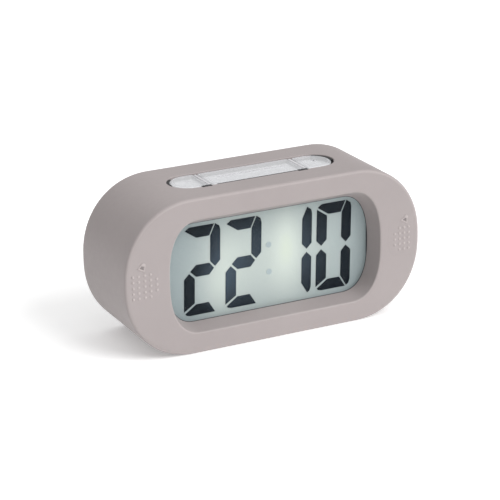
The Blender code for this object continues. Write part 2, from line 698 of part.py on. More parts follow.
def make_battery_door():
    """The door hooks in at its foot and swings out about its lower outer edge."""
    foot = BAY_Z - DOOR[1] / 2
    inner = PANEL_REAR - DOOR_THICKNESS
    door = add_piece("battery_door", panel(DOOR, 0.0012, inner, PANEL_REAR, (0.0, BAY_Z), steps=2),
                     "case_plastic", (0.0, PANEL_REAR, foot))
    for side, sign in (("left", -1), ("right", 1)):
        middle = sign * TAB_X
        tab = block((middle - TAB_WIDTH / 2, 0.0207, foot - 0.0015),
                    (middle + TAB_WIDTH / 2, inner + 0.0004, foot + 0.0010))
        boolean(door, add_piece(f"{side}_door_tab", tab, None), "UNION")


# Back controls and buzzer -------------------------------------------------------------------
def make_back_controls():
    """Two slide switches and two push buttons on their board."""
    board_front, board_rear = CONTROL_BOARD
    half = 0.009
    board = block((WELL_X - half, board_front, 0.0190), (WELL_X + half, board_rear, 0.0496))
    add_piece("control_board", board, "circuit_board")
    foot = board_rear + GAP
    for name, z in SLIDERS.items():
        pivot = (WELL_X, CONTROL_TOP, z)
        knob = panel(SLIDER_KNOB, 0.0006, 0.0192, CONTROL_TOP, (WELL_X, z), steps=2)
        add_piece(f"{name}_slider", knob, "black_plastic", pivot)
        body = block((WELL_X - 0.0045, foot, z - 0.0022), (WELL_X + 0.0045, 0.0189, z + 0.0022))
        add_piece(f"{name}_slide_switch", body, "steel")
    for name, z in BUTTONS.items():
        profile = [
            (SWITCH_STEM, BUTTON_BOTTOM - 0.0028),
            (SWITCH_STEM, BUTTON_BOTTOM),
            (BUTTON_FLANGE, BUTTON_BOTTOM),
            (BUTTON_FLANGE, BUTTON_BOTTOM + 0.0008),
            (BUTTON_RADIUS, BUTTON_BOTTOM + 0.0008),
            (BUTTON_RADIUS, CONTROL_TOP - 0.0004),
            (BUTTON_RADIUS - 0.0004, CONTROL_TOP),
        ]
        button = turned(profile, (WELL_X, z), steps=16)
        add_piece(f"{name}_button", button, "black_plastic", (WELL_X, CONTROL_TOP, z))
        make_switch(f"{name}_button_switch", (WELL_X, foot + SWITCH_TALL, z), "-Y")


def make_buzzer():
    """The sounder: a plastic cup with a brass disc across it, facing the sound holes."""
    r = BUZZER_RADIUS
    rear = PANEL_INNER - GAP
    cup = [(r, 0.0130), (r, rear), (r - 0.001, rear), (r - 0.001, 0.0142)]
    add_piece("buzzer_cup", turned(cup, (BUZZER_X, MID)), "black_plastic")
    disc = [(r - 0.0014, 0.0165), (r - 0.0014, 0.0169)]
    add_piece("buzzer_disc", turned(disc, (BUZZER_X, MID)), "brass")


def build():
    """Make every part."""
    clear_scene()
    make_sleeve()
    make_press_pads()
    make_front_shell()
    make_rear_shell()
    make_case_screws()
    make_display()
    make_board_parts()
    make_keys()
    make_key_ribbon()
    make_batteries()
    make_contacts()
    make_leads()
    make_battery_door()
    make_back_controls()
    make_buzzer()


build()
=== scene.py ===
"""Looks of the digital alarm clock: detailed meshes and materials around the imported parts. Metres."""

import json
from math import cos, hypot, pi, radians, sin

import bmesh
import bpy
from mathutils import Matrix, Vector


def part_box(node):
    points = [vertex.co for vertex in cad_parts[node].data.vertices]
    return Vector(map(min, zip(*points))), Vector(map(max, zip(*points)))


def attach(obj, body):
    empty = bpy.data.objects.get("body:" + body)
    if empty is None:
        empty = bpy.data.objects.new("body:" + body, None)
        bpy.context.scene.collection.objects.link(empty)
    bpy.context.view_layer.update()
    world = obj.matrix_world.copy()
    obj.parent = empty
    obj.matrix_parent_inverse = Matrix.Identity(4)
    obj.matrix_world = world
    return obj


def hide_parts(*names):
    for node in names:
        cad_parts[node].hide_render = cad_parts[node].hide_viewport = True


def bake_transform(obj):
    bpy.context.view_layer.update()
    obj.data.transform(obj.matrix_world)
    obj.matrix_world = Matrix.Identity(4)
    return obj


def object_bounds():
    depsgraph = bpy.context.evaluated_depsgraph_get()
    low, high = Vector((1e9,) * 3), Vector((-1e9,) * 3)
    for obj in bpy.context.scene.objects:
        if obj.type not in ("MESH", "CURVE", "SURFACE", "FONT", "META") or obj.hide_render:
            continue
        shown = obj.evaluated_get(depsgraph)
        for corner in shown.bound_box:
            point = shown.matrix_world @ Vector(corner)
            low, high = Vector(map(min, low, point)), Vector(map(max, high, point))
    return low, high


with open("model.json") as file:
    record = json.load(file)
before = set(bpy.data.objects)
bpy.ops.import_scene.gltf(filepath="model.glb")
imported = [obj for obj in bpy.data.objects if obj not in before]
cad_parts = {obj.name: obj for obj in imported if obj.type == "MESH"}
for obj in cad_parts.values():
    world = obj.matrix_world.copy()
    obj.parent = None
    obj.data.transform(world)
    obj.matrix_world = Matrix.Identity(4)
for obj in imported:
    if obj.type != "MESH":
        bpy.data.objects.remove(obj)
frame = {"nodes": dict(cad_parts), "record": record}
CAD_LOW, CAD_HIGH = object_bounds()
scene = bpy.context.scene

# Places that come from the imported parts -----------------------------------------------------
WIDTH = CAD_HIGH.x - CAD_LOW.x
HEIGHT = CAD_HIGH.z - CAD_LOW.z
FRONT = CAD_LOW.y
REAR = CAD_HIGH.y
MID = (CAD_LOW.z + CAD_HIGH.z) / 2
LENS_LOW, LENS_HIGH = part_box("window_lens")
SHELL_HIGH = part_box("rear_shell")[1]
DOOR_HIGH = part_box("battery_door")[1]
PAD_LOW, PAD_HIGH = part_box("right_press_pad")
WINDOW_MID = (LENS_LOW.z + LENS_HIGH.z) / 2

# Sizes that the sleeve and the case share with the parts' design ------------------------------
SKIN = 0.002                   # thickness of the sleeve
RECESS_SKIN = SKIN * 0.75      # its thickness at the foot of the recess
GAP = 0.0003                   # room between the sleeve and the parts next to it
CORNER = (0.0312, 0.0328)      # size of the outline's corners, across and up
CORNER_POWER = 2.1             # 2 gives elliptical corners, more gives squarer ones
FRONT_EDGE = 0.0015
REAR_EDGE = 0.0015
LIP = 0.0045                   # how far the rear lip reaches in from the outline
LIP_EDGE = 0.0005
WINDOW = (0.1002, 0.0495)      # mouth of the recess, in the front face
WINDOW_CENTRE = (0.00045, WINDOW_MID + 0.00025)
WINDOW_END = 0.0150            # how far the mouth's rounded ends reach in
WINDOW_POWER = 2.5
DISPLAY = (0.0965, 0.04395)    # foot of the recess, round the display
DISPLAY_CENTRE = (0.0004, WINDOW_MID - 0.0007)
MOUTH_EDGE = 0.0008
SLOT = (0.0780, 0.0185)        # the key slot in the top
SLOT_EDGE = 0.0005
KEY_HALF_DEPTH = 0.00875
PAD_MARGIN = 0.0006            # how far each pad's skin reaches past its CAD pad, across
TINY = 1e-5                    # keeps two corners of an outline from meeting in one point
CIRCLE_STEPS = 32


# Geometry helpers ---------------------------------------------------------------------------
def new_object(name, mesh, material=None, smooth_angle=40):
    """Turn a bmesh into a scene object, smooth except at sharp edges."""
    bmesh.ops.recalc_face_normals(mesh, faces=mesh.faces)
    if mesh.calc_volume(signed=True) < 0:
        bmesh.ops.reverse_faces(mesh, faces=mesh.faces)
    data = bpy.data.meshes.new(name)
    mesh.to_mesh(data)
    mesh.free()
    data.shade_smooth()
    data.set_sharp_from_angle(angle=radians(smooth_angle))
    if material:
        data.materials.append(material)
    made = bpy.data.objects.new(name, data)
    scene.collection.objects.link(made)
    return made


def loft(rings, closed=False):
    """A new mesh skinned over rings of points."""
    mesh = bmesh.new()
    add_loft(mesh, rings, closed)
    return mesh


def add_loft(mesh, rings, closed=False):
    """Skin a list of rings of points. A closed loft joins its last ring to its first."""
    rows = [[mesh.verts.new(point) for point in ring] for ring in rings]
    pairs = list(zip(rows, rows[1:]))
    if closed:
        pairs.append((rows[-1], rows[0]))
    count = len(rows[0])
    for low, high in pairs:
        for i in range(count):
            j = (i + 1) % count
            mesh.faces.new((low[i], low[j], high[j], high[i]))
    if not closed:
        mesh.faces.new(rows[0])
        mesh.faces.new(rows[-1])


def outline(size, reach, power=2.0, steps=24):
    """Rounded rectangle about the origin. reach is each corner's size along both sides."""
    turns = [pi / 2 * step / steps for step in range(1, steps)]
    quarter = [(1.0, 0.0)]
    quarter += [(cos(turn) ** (2 / power), sin(turn) ** (2 / power)) for turn in turns]
    quarter += [(0.0, 1.0)]
    points = []
    for sx, sy, corner in ((1, 1, quarter), (-1, 1, quarter[::-1]),
                           (-1, -1, quarter), (1, -1, quarter[::-1])):
        for across, up in corner:
            points.append((sx * (size[0] / 2 - reach[0] * (1 - across)),
                           sy * (size[1] / 2 - reach[1] * (1 - up))))
    return points


def facing(points, y, centre=(0.0, MID)):
    """Place a flat outline at depth y, seen from the front."""
    return [(centre[0] + x, y, centre[1] + z) for x, z in points]


def lying(points, z, centre=(0.0, 0.0)):
    """Place a flat outline at height z, seen from above."""
    return [(centre[0] + x, centre[1] + y, z) for x, y in points]


def body_ring(inset, y):
    """The clock's front outline, drawn in by inset, at depth y."""
    size = (WIDTH - 2 * inset, HEIGHT - 2 * inset)
    return facing(outline(size, (CORNER[0] - inset, CORNER[1] - inset), CORNER_POWER), y)


def window_ring(part, grow, y):
    """The window's outline at depth y, grown all round. part goes from 0, display, to 1, mouth."""
    size = [a + (b - a) * part for a, b in zip(DISPLAY, WINDOW)]
    centre = [a + (b - a) * part for a, b in zip(DISPLAY_CENTRE, WINDOW_CENTRE)]
    wide = size[0] + 2 * grow
    tall = size[1] + 2 * grow
    end = WINDOW_END + grow - (WINDOW[0] - size[0]) / 2
    shape = outline((wide, tall), (end, tall / 2 - TINY), WINDOW_POWER)
    return facing(shape, y, centre)


def rounding(radius, steps):
    """Inset and setback along a quarter-round edge, from the face to the side."""
    turns = [pi / 2 * step / steps for step in range(steps + 1)]
    return [(radius * (1 - sin(turn)), radius * (1 - cos(turn))) for turn in turns]


def slab(size, radius, front, rear, centre, edge=0.0003, steps=8, material=None, name=""):
    """An upright plate with rounded corners and softened front and rear edges."""
    levels = [(inset, front + back) for inset, back in rounding(edge, 3)]
    levels += [(inset, rear - back) for inset, back in reversed(rounding(edge, 3))]
    rings = []
    for inset, y in levels:
        shape = outline((size[0] - 2 * inset, size[1] - 2 * inset),
                        (radius - inset, radius - inset), steps=steps)
        rings.append(facing(shape, y, centre))
    return new_object(name, loft(rings), material)


def block(low, high):
    """A box between two corners."""
    mesh = bmesh.new()
    bmesh.ops.create_cube(mesh, size=1.0)
    bmesh.ops.scale(mesh, verts=mesh.verts, vec=Vector(high) - Vector(low))
    bmesh.ops.translate(mesh, verts=mesh.verts, vec=(Vector(high) + Vector(low)) / 2)
    return mesh


def turned(profile, centre, axis="Y", steps=40):
    """Turn a profile of (radius, place along the axis) about the Y or X axis through centre."""
    rings = []
    for radius, place in profile:
        ring = []
        for step in range(steps):
            turn = 2 * pi * step / steps
            a, b = radius * cos(turn), radius * sin(turn)
            if axis == "Y":
                ring.append((centre[0] + a, place, centre[1] + b))
            else:
                ring.append((place, centre[0] + a, centre[1] + b))
        rings.append(ring)
    return loft(rings)


def cut(piece, tool_mesh):
    """Cut a tool out of a piece and bake the result into the piece's mesh."""
    tool = new_object("tool", tool_mesh)
    step = piece.modifiers.new("cut", "BOOLEAN")
    step.operation = "DIFFERENCE"
    step.object = tool
    bake(piece)
    bpy.data.objects.remove(tool)


def bake(piece):
    """Replace a piece's mesh by what its modifiers make of it."""
    graph = bpy.context.evaluated_depsgraph_get()
    mesh = bpy.data.meshes.new_from_object(piece.evaluated_get(graph))
    piece.modifiers.clear()
    piece.data = mesh


def sharpen(piece, angle=40):
    """Mark a piece's edges sharp where its faces turn by more than this many degrees."""
    piece.data.set_sharp_from_angle(angle=radians(angle))


def soften(piece, width=0.0002, segments=2, angle=35):
    """Round a piece's sharp edges a little and keep its shading even."""
    edge = piece.modifiers.new("edges", "BEVEL")
    edge.width = width
    edge.segments = segments
    edge.limit_method = "ANGLE"
    edge.angle_limit = radians(angle)
    edge.harden_normals = True
    bake(piece)


def even_normals(piece):
    """Keep large flat faces flat in the shading next to rounded edges."""
    sharpen(piece)
    step = piece.modifiers.new("normals", "WEIGHTED_NORMAL")
    step.keep_sharp = True
    step.weight = 100
    bake(piece)


def place(piece, body, slot, *nodes):
    """Say which body a piece rides on and which CAD nodes it stands for; slot is not used."""
    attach(piece, body)
    if nodes:
        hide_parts(*nodes)


# Material helpers ---------------------------------------------------------------------------
class Shader:
    """One Principled material, built node by node."""

    def __init__(self, name, colour, roughness, **settings):
        self.material = bpy.data.materials.new(name)
        self.material.use_nodes = True
        self.tree = self.material.node_tree
        self.main = self.tree.nodes["Principled BSDF"]
        self.main.inputs["Base Color"].default_value = (*colour, 1.0)
        self.main.inputs["Roughness"].default_value = roughness
        for key, value in settings.items():
            self.main.inputs[key.replace("_", " ")].default_value = value
        self.place = self.tree.nodes.new("ShaderNodeTexCoord").outputs["Object"]

    def link(self, source, target):
        self.tree.links.new(source, target)

    def node(self, kind, **values):
        """Add a node, setting sockets by name and properties by attribute."""
        made = self.tree.nodes.new("ShaderNode" + kind)
        for key, value in values.items():
            if hasattr(made, key):
                setattr(made, key, value)
            else:
                made.inputs[key.replace("_", " ")].default_value = value
        return made

    def noise(self, scale, detail=4.0, roughness=0.55, stretch=None):
        """A noise value over the piece. scale is in cells per metre."""
        source = self.place
        if stretch:
            mapping = self.node("Mapping")
            mapping.inputs["Scale"].default_value = stretch
            self.link(source, mapping.inputs["Vector"])
            source = mapping.outputs["Vector"]
        made = self.node("TexNoise", Scale=scale, Detail=detail, Roughness=roughness)
        self.link(source, made.inputs["Vector"])
        return made.outputs["Fac"]

    def ramp(self, value, stops):
        """Turn a value into a colour through (place, colour) stops."""
        made = self.node("ValToRGB")
        band = made.color_ramp
        while len(band.elements) < len(stops):
            band.elements.new(0.5)
        for element, (where, colour) in zip(band.elements, stops):
            element.position = where
            element.color = (*colour, 1.0)
        self.link(value, made.inputs["Fac"])
        return made.outputs["Color"]

    def spread(self, value, low, high, start=0.3, stop=0.7):
        """Map a value from one range to another."""
        made = self.node("MapRange")
        for key, number in (("From Min", start), ("From Max", stop), ("To Min", low), ("To Max", high)):
            made.inputs[key].default_value = number
        self.link(value, made.inputs["Value"])
        return made.outputs["Result"]

    def math(self, operation, first, second=None):
        """A math node on sockets or numbers."""
        made = self.node("Math", operation=operation)
        for socket, value in zip(made.inputs, (first, second)):
            if value is None:
                continue
            if isinstance(value, (int, float)):
                socket.default_value = value
            else:
                self.link(value, socket)
        return made.outputs["Value"]

    def scaled(self, colour, factor):
        """A colour made lighter or darker by a number or a socket."""
        made = self.node("VectorMath", operation="SCALE")
        if isinstance(factor, (int, float)):
            made.inputs["Scale"].default_value = factor
        else:
            self.link(factor, made.inputs["Scale"])
        self.link(colour, made.inputs[0])
        return made.outputs["Vector"]

    def colour(self, source):
        self.link(source, self.main.inputs["Base Color"])

    def roughness(self, source):
        self.link(source, self.main.inputs["Roughness"])

    def bump(self, *layers):
        """Stack bumps of (height socket, distance in metres, strength)."""
        normal = None
        for height, distance, strength in layers:
            made = self.node("Bump", Strength=strength, Distance=distance)
            self.link(height, made.inputs["Height"])
            if normal:
                self.link(normal, made.inputs["Normal"])
            normal = made.outputs["Normal"]
        self.link(normal, self.main.inputs["Normal"])


def shade(colour, factor):
    """A colour made lighter or darker."""
    return tuple(min(1.0, channel * factor) for channel in colour)


def moulded(name, colour, roughness, grain=1800, depth=0.00003, vary=0.05, **settings):
    """Moulded plastic or rubber: a fine grain, slight mottling and uneven gloss."""
    made = Shader(name, colour, roughness, **settings)
    broad = made.noise(35, 3)
    fine = made.noise(grain, 2)
    made.colour(made.ramp(broad, [(0.35, shade(colour, 1 - vary)), (0.65, shade(colour, 1 + vary))]))
    made.roughness(made.spread(fine, roughness - 0.06, roughness + 0.06))
    made.bump((broad, 0.0004, 0.05), (fine, depth, 0.5))
    return made.material


def metal(name, colour, roughness, stretch=(1, 1, 1), grain=2500):
    """Drawn or brushed metal with fine lines along one direction."""
    made = Shader(name, colour, roughness, Metallic=1.0)
    lines = made.noise(grain, 3, 0.6, stretch)
    stain = made.noise(90, 3)
    made.colour(made.ramp(stain, [(0.3, shade(colour, 0.88)), (0.7, shade(colour, 1.06))]))
    made.roughness(made.spread(lines, roughness - 0.07, roughness + 0.12))
    made.bump((lines, 0.00002, 0.4))
    return made.material


# Colours ------------------------------------------------------------------------------------
TAUPE = (0.338, 0.3000, 0.2970)
CASE_GREY = (0.285, 0.258, 0.254)
LCD_EDGE = (0.265, 0.325, 0.350)
LCD_PALE = (0.50, 0.565, 0.550)
LCD_BRIGHT = (0.66, 0.73, 0.68)
LCD_GLOW = (0.76, 0.85, 0.68)
LCD_DIFFUSE = 0.58             # share of the display's brightness that comes from the room, on a base colour with the backlight's glow painted in
LCD_GLOW_SHARE = 0.42          # share that comes from its own backlight
INK_STOPS = (                  # ink colour from the display's dark ends, 0, to its bright middle, 1; painted backlight, paler where the display glows more
    (0.0, (0.004, 0.008, 0.013)),
    (0.28, (0.009, 0.014, 0.020)),
    (0.50, (0.036, 0.050, 0.066)),
    (1.0, (0.095, 0.140, 0.195)),
)

# Painted highlight on the sleeve: the edges round its front and the tops of its dots are paler.
# Each stop is a place from PAINTED_HIGHLIGHT_SPAN proud of the front, 0, to PAINTED_HIGHLIGHT_SPAN behind
# it, 1, and a level.
PAINTED_HIGHLIGHT_SPAN = 0.0012
PAINTED_HIGHLIGHT_SCALE = 1.25
PAINTED_HIGHLIGHT = ((0.36, 1.0), (0.45, 0.80), (0.505, 0.80), (0.55, 0.90), (0.66, 0.86), (0.82, 0.80))


def silicone():
    """Soft-touch silicone: almost matt, a fine powdery grain and a faint sheen."""
    made = Shader("silicone", TAUPE, 0.62, Sheen_Weight=0.12, Sheen_Roughness=0.5, IOR=1.42)
    broad = made.noise(22, 4)
    middle = made.noise(420, 3)
    fine = made.noise(3600, 2)
    mottled = made.ramp(broad, [(0.3, shade(TAUPE, 0.965)), (0.7, shade(TAUPE, 1.03))])
    split = made.node("SeparateXYZ")
    made.link(made.place, split.inputs["Vector"])
    # Painted highlight: the colour is paler on the rounded edges round the front and on the tops of the pad
    # dots.
    depth = made.spread(split.outputs["Y"], 0.0, 1.0, FRONT - PAINTED_HIGHLIGHT_SPAN, FRONT + PAINTED_HIGHLIGHT_SPAN)
    highlight_level = made.ramp(depth, [(where, (level, level, level)) for where, level in PAINTED_HIGHLIGHT])
    made.colour(made.scaled(mottled, made.math("MULTIPLY", highlight_level, PAINTED_HIGHLIGHT_SCALE)))
    made.roughness(made.spread(middle, 0.56, 0.68))
    made.bump((middle, 0.00003, 0.18), (fine, 0.00002, 0.35))
    return made.material


# Brighter patches of the display: centre x and z from the window's middle, size x and z, strength
LCD_GLOWS = [
    (0.003, -0.001, 0.043, 0.032, 0.49),
    (-0.020, 0.003, 0.010, 0.015, 0.22),
    (-0.022, -0.012, 0.009, 0.011, 0.20),
    (0.010, 0.005, 0.006, 0.014, 0.26),
    (0.010, -0.006, 0.009, 0.016, 0.12),
]


def lcd_level(made):
    """How brightly the display is lit at each point, from 0 at its ends to 1."""
    split = made.node("SeparateXYZ")
    made.link(made.place, split.inputs["Vector"])
    z = made.math("SUBTRACT", split.outputs["Z"], WINDOW_MID)
    total = made.spread(made.noise(900, 2), -0.02, 0.02)
    for centre_x, centre_z, wide, tall, strength in LCD_GLOWS:
        across = made.math("DIVIDE", made.math("SUBTRACT", split.outputs["X"], centre_x), wide)
        up = made.math("DIVIDE", made.math("SUBTRACT", z, centre_z), tall)
        square = made.math("ADD", made.math("MULTIPLY", across, across), made.math("MULTIPLY", up, up))
        spot = made.math("MULTIPLY", made.math("EXPONENT", made.math("MULTIPLY", square, -1.0)), strength)
        total = made.math("ADD", total, spot)
    return total


def lcd_background():
    """Pale grey-green face of the display, lit unevenly from behind."""
    made = Shader("lcd_background", LCD_PALE, 0.5, Specular_IOR_Level=0.1)
    stops = [(0.0, LCD_EDGE), (0.40, LCD_PALE), (0.70, LCD_BRIGHT), (1.0, LCD_GLOW)]
    tint = made.ramp(lcd_level(made), stops)
    # The backlight's uneven glow is painted into the base colour and is also given off as emission.
    made.link(made.scaled(tint, LCD_DIFFUSE), made.main.inputs["Base Color"])
    made.link(tint, made.main.inputs["Emission Color"])
    made.main.inputs["Emission Strength"].default_value = LCD_GLOW_SHARE
    made.bump((made.noise(5000, 1), 0.00001, 0.2))
    return made.material


def lcd_ink():
    """Darkened liquid crystal with the backlight painted in: bluer and paler where the display is brighter.
    """
    made = Shader("lcd_ink", INK_STOPS[0][1], 0.5, Specular_IOR_Level=0.08)
    made.colour(made.ramp(lcd_level(made), INK_STOPS))
    made.bump((made.noise(4000, 1), 0.00001, 0.1))
    return made.material


def make_materials():
    """Every material of the clock: first those of the record's slots, then the extra ones."""
    return {
        "sleeve_silicone": silicone(),
        "case_plastic": moulded("case_plastic", CASE_GREY, 0.5, 1500, 0.00005),
        "inner_white_plastic": moulded("inner_white_plastic", (0.78, 0.78, 0.76), 0.45),
        "ribbon_cable": moulded("ribbon_cable", (0.74, 0.74, 0.70), 0.4, 700),
        "white_film": moulded("white_film", (0.86, 0.86, 0.85), 0.55, 3000),
        "light_guide": moulded("light_guide", (0.82, 0.90, 0.88), 0.18, 1200),
        "led_strip": moulded("led_strip", (0.85, 0.84, 0.70), 0.35),
        "contact_rubber": moulded("contact_rubber", (0.05, 0.05, 0.055), 0.8),
        "circuit_board": circuit_board(),
        "black_epoxy": moulded("black_epoxy", (0.016, 0.016, 0.018), 0.25, 400, 0.00006),
        "steel_can": metal("steel_can", (0.60, 0.60, 0.61), 0.28, (1, 14, 1)),
        "key_white": moulded("key_white", (0.80, 0.80, 0.81), 0.38, 2200, 0.00001, 0.02),
        "contact_steel": metal("contact_steel", (0.66, 0.65, 0.62), 0.25, (1, 1, 12)),
        "battery_wrap": battery_wrap(),
        "red_wire": moulded("red_wire", (0.55, 0.03, 0.025), 0.42),
        "black_wire": moulded("black_wire", (0.025, 0.025, 0.026), 0.42),
        "black_plastic": moulded("black_plastic", (0.028, 0.028, 0.030), 0.46, 1600, 0.00004),
        "switch_plastic": moulded("switch_plastic", (0.022, 0.022, 0.024), 0.5),
        "brass": metal("brass", (0.75, 0.58, 0.28), 0.3),
        "screw_steel": metal("screw_steel", (0.56, 0.56, 0.58), 0.26, (1, 1, 1), 1800),
        "clear_lens": clear("clear_lens", (0.02, 0.022, 0.022), 0.06, 0.04),
        "lcd_glass": clear("lcd_glass", (0.16, 0.19, 0.19), 0.10, 0.20),
        "key_clear": clear("key_clear", (0.90, 0.91, 0.93), 0.07, 0.42),
        "lcd_background": lcd_background(),
        "lcd_ink": lcd_ink(),
        "lcd_ghost": moulded("lcd_ghost", (0.42, 0.50, 0.52), 0.4),
        "key_mark": moulded("key_mark", (0.56, 0.55, 0.58), 0.5),
        "key_rib": moulded("key_rib", (0.60, 0.59, 0.61), 0.4),
        # A darkened copy of the silicone: painted shade for the pad pictogram's hollow.
        "pad_painted_shade": moulded("pad_painted_shade", shade(TAUPE, 0.62), 0.6),
        # Painted shade for the seam round the display's foot.
        "seam_shade": moulded("seam_shade", (0.045, 0.048, 0.055), 0.6),
        "mark_white": moulded("mark_white", (0.72, 0.71, 0.70), 0.55),
    }


def clear(name, colour, roughness, alpha):
    """Clear plastic or glass: a thin film of colour under gloss, with faint waviness."""
    made = Shader(name, colour, roughness, Alpha=alpha, IOR=1.49)
    wave = made.noise(60, 2)
    haze = made.noise(900, 3)
    made.colour(made.ramp(haze, [(0.3, shade(colour, 0.97)), (0.7, colour)]))
    made.roughness(made.spread(haze, roughness * 0.7, roughness * 1.4))
    made.bump((wave, 0.0002, 0.06))
    return made.material


def circuit_board():
    """Green solder mask over faint tracks."""
    made = Shader("circuit_board", (0.02, 0.16, 0.06), 0.35)
    tracks = made.node("TexVoronoi", Scale=420)
    tracks.feature = "DISTANCE_TO_EDGE"
    made.link(made.place, tracks.inputs["Vector"])
    edge = made.spread(tracks.outputs["Distance"], 0.0, 1.0, 0.05, 0.12)
    made.colour(made.ramp(edge, [(0.0, (0.035, 0.24, 0.09)), (1.0, (0.016, 0.13, 0.05))]))
    made.roughness(made.spread(made.noise(600, 2), 0.28, 0.42))
    made.bump((edge, 0.00003, 0.5))
    return made.material


def battery_wrap():
    """Printed shrink sleeve of a cell: a dark barrel with a plain copper band."""
    made = Shader("battery_wrap", (0.03, 0.035, 0.045), 0.3)
    split = made.node("SeparateXYZ")
    made.link(made.place, split.inputs["Vector"])
    away = made.math("ABSOLUTE", split.outputs["X"])
    made.colour(made.ramp(made.spread(away, 0.0, 1.0, 0.0, 0.022),
                          [(0.0, (0.028, 0.032, 0.042)), (0.60, (0.030, 0.035, 0.046)),
                           (0.62, (0.55, 0.26, 0.10)), (1.0, (0.60, 0.30, 0.12))]))
    made.roughness(made.spread(made.noise(400, 2), 0.24, 0.36))
    made.bump((made.noise(150, 3), 0.0001, 0.12))
    return made.material


MATERIALS = make_materials()


# Sleeve -------------------------------------------------------------------------------------
PAD_HALF = ((PAD_HIGH.x - PAD_LOW.x) / 2 + PAD_MARGIN, (PAD_HIGH.z - PAD_LOW.z) / 2 + GAP)
PAD_PLACES = {
    "left": (-(PAD_LOW.x + PAD_HIGH.x) / 2, (PAD_LOW.z + PAD_HIGH.z) / 2),
    "right": ((PAD_LOW.x + PAD_HIGH.x) / 2, (PAD_LOW.z + PAD_HIGH.z) / 2),
}
MEMBRANE_DEPTH = 0.0012        # how far a pad's skin reaches back from the front


def make_sleeve():
    """The silicone skin, with a rounded mouth, soft edges, key slot and rear lip."""
    recess_end = LENS_LOW.y - GAP
    wall_start = FRONT + MOUTH_EDGE
    rings = [window_ring(part, 0.0, recess_end + (wall_start - recess_end) * part)
             for part in (0.0, 0.08, 0.5, 0.92)]
    rings += [window_ring(1.0, grow, FRONT + back) for back, grow in rounding(MOUTH_EDGE, 6)]
    rings.append(window_ring(1.0, MOUTH_EDGE + 0.0004, FRONT))
    rings.append(body_ring(FRONT_EDGE + 0.0004, FRONT))
    rings += [body_ring(inset, FRONT + back) for inset, back in rounding(FRONT_EDGE, 8)]
    rings.append(body_ring(0.0, FRONT + FRONT_EDGE + 0.0006))
    rings.append(body_ring(0.0, REAR - REAR_EDGE - 0.0006))
    rings += [body_ring(inset, REAR - back) for inset, back in reversed(rounding(REAR_EDGE, 6))]
    rings.append(body_ring(REAR_EDGE + 0.0003, REAR))
    rings.append(body_ring(LIP - LIP_EDGE - 0.0003, REAR))
    rings += [body_ring(LIP - inset, REAR - back) for inset, back in rounding(LIP_EDGE, 4)]
    rings += [
        body_ring(LIP, REAR - SKIN),
        body_ring(SKIN, REAR - SKIN),
        body_ring(SKIN, FRONT + SKIN),
        window_ring(1.0, SKIN, FRONT + SKIN),
        window_ring(0.0, RECESS_SKIN, recess_end),
    ]
    sleeve = new_object("sleeve_skin", loft(rings, closed=True), MATERIALS["sleeve_silicone"])
    cut(sleeve, slot_tool())
    for x, z in PAD_PLACES.values():
        low = (x - PAD_HALF[0], FRONT - SKIN, z - PAD_HALF[1])
        high = (x + PAD_HALF[0], FRONT + 1.5 * SKIN, z + PAD_HALF[1])
        cut(sleeve, block(low, high))
    even_normals(sleeve)
    place(sleeve, "root", "sleeve_silicone", "silicone_sleeve")


def slot_tool():
    """A cutter with round ends that flares at the top, so the slot's rim comes out rounded."""
    rings = []
    for drop, flare in [(2 * SKIN, 0.0)] + rounding(SLOT_EDGE, 5) + [(-SKIN, SLOT_EDGE)]:
        size = (SLOT[0] + 2 * flare, SLOT[1] + 2 * flare)
        reach = size[1] / 2 - TINY
        rings.append(lying(outline(size, (reach, reach), steps=20), HEIGHT - drop))
    return loft(rings)


# Press pads ---------------------------------------------------------------------------------
PAD_RISE = 0.00006             # how far the pad stands proud of the front
PAD_SLOPE = 0.14               # share of the pad taken up by its soft border
DOT_PITCH = 0.00243
DOT_RADIUS = 0.00068
DOT_HEIGHT = 0.00038
DOT_COLUMNS = {                # distance from the clock's middle, and number of dots
    "left": [(0.0666, 5), (0.0640, 5), (0.0612, 5), (0.0586, 5), (0.0558, 3)],
    "right": [(0.0646, 5), (0.0623, 5), (0.0600, 5), (0.0577, 3)],
}
DOT_DROP = -0.00166            # the grid's middle, from the pad's middle
ICON_PLACE = {"left": (0.0622, 0.0069), "right": (0.0628, 0.0070)}
ICON_SIZE = 0.0023
ICON_LEAN = radians(28)
ICON_SHAPE = {"left": (0.56, 0.22), "right": (0.50, 0.30)}   # half width at the top, and flare
ICON_LINE = 0.22               # thickness of the raised outline, as a share of the size
CORE_RISE = 0.00002            # half the thickness of the dark plate of painted shade in the middle
GRID_STEP = 0.00018


def make_pads():
    """The two pads as one skin each, set into the openings in the front."""
    for side, mirror in (("left", -1), ("right", 1)):
        x, z = PAD_PLACES[side]
        skin = pad_mesh(side, x, z, mirror)
        pad = new_object(f"{side}_pad_skin", skin, MATERIALS["sleeve_silicone"], 60)
        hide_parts(f"{side}_press_pad")
        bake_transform(pad)
        core = new_object(f"{side}_pad_painted_shade", icon_core(side, z, mirror), MATERIALS["pad_painted_shade"])
        place(core, f"{side}_pad", "sleeve_silicone")


def icon_core(side, pad_z, mirror):
    """A thin dark plate on the pad, in the middle of its pictogram: painted shade in the pictogram's hollow.
    """
    centre_x = mirror * ICON_PLACE[side][0]
    centre_z = pad_z + ICON_PLACE[side][1]
    top, flare = ICON_SHAPE[side]
    upper = top - ICON_LINE
    lower = top + flare * 0.8 - ICON_LINE
    corners = []
    for a, b in ((-lower, -0.40), (lower, -0.40), (upper, 0.20), (-upper, 0.20)):
        across = (a * cos(ICON_LEAN) + b * sin(ICON_LEAN)) * ICON_SIZE
        up = (b * cos(ICON_LEAN) - a * sin(ICON_LEAN)) * ICON_SIZE
        corners.append((centre_x + across, centre_z + up))
    mesh = bmesh.new()
    add_prism(mesh, corners, FRONT - PAD_RISE - CORE_RISE, FRONT - PAD_RISE + CORE_RISE)
    return mesh


